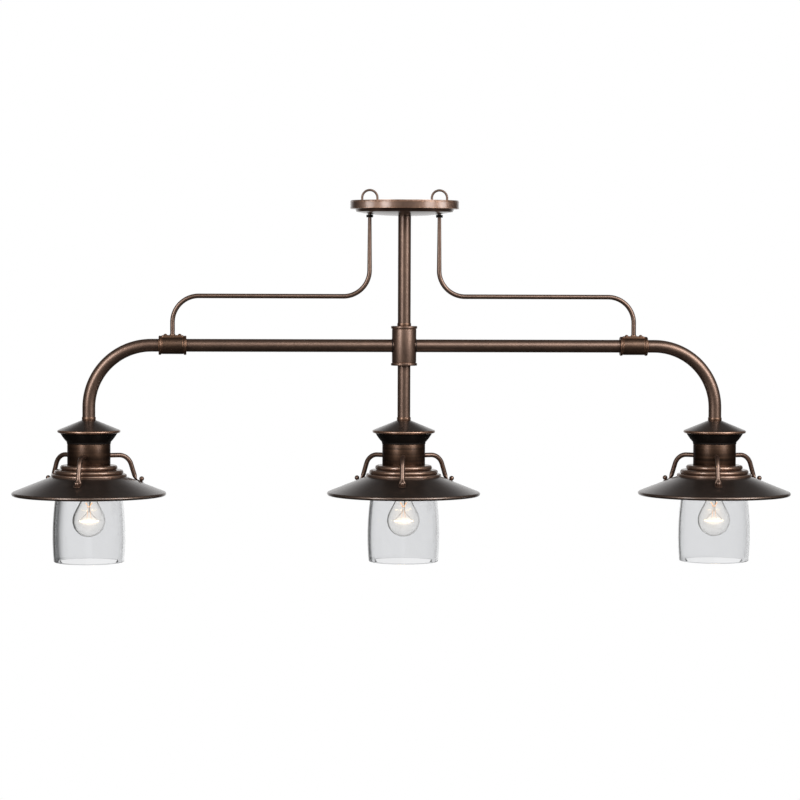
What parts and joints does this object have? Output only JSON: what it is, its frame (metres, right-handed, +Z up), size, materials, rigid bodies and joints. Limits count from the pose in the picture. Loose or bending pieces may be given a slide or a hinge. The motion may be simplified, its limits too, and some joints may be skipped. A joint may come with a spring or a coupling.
{
  "type": "billiard light",
  "caption": "Linear pendant light with a canopy and stem, bent arms with tie rods, and conical shades over open glass cylinders with screw-in bulbs.",
  "frame": {"origin": "centre of the canopy's rim, in the plane that meets the ceiling", "axes": "+X along the arms, towards the right-hand lamp as seen from the front; +Y towards the back; +Z up"},
  "size_m": [1.436, 0.282, 0.6844],
  "materials": {
    "bronze": "satin",
    "dark_bronze": "satin",
    "black_metal": "satin",
    "copper": "satin",
    "steel": "zinc plated",
    "nickel": "nickel plated",
    "brass": "bright",
    "clear_glass": "clear, polished",
    "bulb_glass": "clear, polished",
    "filament_glass": "clear stem with a glowing wire",
    "socket_plastic": "moulded",
    "wire_plastic": "smooth insulation",
    "orange_plastic": "moulded"
  },
  "bodies": {
    "fixture": {"mounting_strap": "steel", "support_bar": "steel", "hickey": "steel", "canopy": "bronze", "nipples": "steel", "lock_nuts": "steel", "hanging_loops": "bronze", "loop_nuts": "steel", "tie_rod_left": "bronze", "tie_rod_right": "bronze", "tie_rod_nuts": "black_metal", "stem_upper": "bronze", "stem_lower": "bronze", "hub": "bronze", "arm_left": "bronze", "arm_right": "bronze", "elbow_left": "bronze", "elbow_right": "bronze", "sleeve_left": "bronze", "sleeve_right": "bronze", "sleeve_screws": "bronze", "tube_collars": "copper", "socket_bodies": "socket_plastic", "socket_contacts": "brass", "hook_screws": "copper", "lead_wires": "wire_plastic", "wire_connectors": "orange_plastic", "cap_left": "dark_bronze", "flared_ring_left": "black_metal", "neck_left": "bronze", "shade_left": "dark_bronze", "hooks_left": "bronze", "cap_middle": "dark_bronze", "flared_ring_middle": "black_metal", "neck_middle": "bronze", "shade_middle": "dark_bronze", "hooks_middle": "bronze", "cap_right": "dark_bronze", "flared_ring_right": "black_metal", "neck_right": "bronze", "shade_right": "dark_bronze", "hooks_right": "bronze"},
    "glass_left": {"glass_left": "clear_glass"},
    "retaining_ring_left": {"retaining_ring_left": "socket_plastic"},
    "bulb_contact_left": {"bulb_contact_left": "nickel"},
    "bulb_left": {"bulb_glass_left": "bulb_glass", "bulb_base_left": "nickel", "filament_left": "filament_glass"},
    "glass_middle": {"glass_middle": "clear_glass"},
    "retaining_ring_middle": {"retaining_ring_middle": "socket_plastic"},
    "bulb_contact_middle": {"bulb_contact_middle": "nickel"},
    "bulb_middle": {"bulb_glass_middle": "bulb_glass", "bulb_base_middle": "nickel", "filament_middle": "filament_glass"},
    "glass_right": {"glass_right": "clear_glass"},
    "retaining_ring_right": {"retaining_ring_right": "socket_plastic"},
    "bulb_contact_right": {"bulb_contact_right": "nickel"},
    "bulb_right": {"bulb_glass_right": "bulb_glass", "bulb_base_right": "nickel", "filament_right": "filament_glass"}
  },
  "joints": [
    {"name": "glass_drop_left", "type": "slide", "parent": "fixture", "child": "glass_left", "axis": [0, 0, -1], "range_m": [0, 0.009]},
    {"name": "ring_turn_left", "type": "hinge", "parent": "glass_left", "child": "retaining_ring_left", "pos_m": [-0.577, 0, -0.5284], "axis": [0, 0, -1], "range_deg": [0, 1080]},
    {"name": "bulb_drop_left", "type": "slide", "parent": "fixture", "child": "bulb_contact_left", "axis": [0, 0, -1], "range_m": [0, 0.025]},
    {"name": "bulb_turn_left", "type": "hinge", "parent": "bulb_contact_left", "child": "bulb_left", "pos_m": [-0.577, 0, -0.5284], "axis": [0, 0, -1], "range_deg": [0, 2477]},
    {"name": "glass_drop_middle", "type": "slide", "parent": "fixture", "child": "glass_middle", "axis": [0, 0, -1], "range_m": [0, 0.009]},
    {"name": "ring_turn_middle", "type": "hinge", "parent": "glass_middle", "child": "retaining_ring_middle", "pos_m": [0, 0, -0.5284], "axis": [0, 0, -1], "range_deg": [0, 1080]},
    {"name": "bulb_drop_middle", "type": "slide", "parent": "fixture", "child": "bulb_contact_middle", "axis": [0, 0, -1], "range_m": [0, 0.025]},
    {"name": "bulb_turn_middle", "type": "hinge", "parent": "bulb_contact_middle", "child": "bulb_middle", "pos_m": [0, 0, -0.5284], "axis": [0, 0, -1], "range_deg": [0, 2477]},
    {"name": "glass_drop_right", "type": "slide", "parent": "fixture", "child": "glass_right", "axis": [0, 0, -1], "range_m": [0, 0.009]},
    {"name": "ring_turn_right", "type": "hinge", "parent": "glass_right", "child": "retaining_ring_right", "pos_m": [0.577, 0, -0.5284], "axis": [0, 0, -1], "range_deg": [0, 1080]},
    {"name": "bulb_drop_right", "type": "slide", "parent": "fixture", "child": "bulb_contact_right", "axis": [0, 0, -1], "range_m": [0, 0.025]},
    {"name": "bulb_turn_right", "type": "hinge", "parent": "bulb_contact_right", "child": "bulb_right", "pos_m": [0.577, 0, -0.5284], "axis": [0, 0, -1], "range_deg": [0, 2477]}
  ],
  "couplings": [
    {"joint": "ring_turn_left", "follows": "glass_drop_left", "rad_per_m": 2094.4},
    {"joint": "bulb_drop_left", "follows": "bulb_turn_left", "m_per_rad": 0.00057773},
    {"joint": "ring_turn_middle", "follows": "glass_drop_middle", "rad_per_m": 2094.4},
    {"joint": "bulb_drop_middle", "follows": "bulb_turn_middle", "m_per_rad": 0.00057773},
    {"joint": "ring_turn_right", "follows": "glass_drop_right", "rad_per_m": 2094.4},
    {"joint": "bulb_drop_right", "follows": "bulb_turn_right", "m_per_rad": 0.00057773}
  ]
}
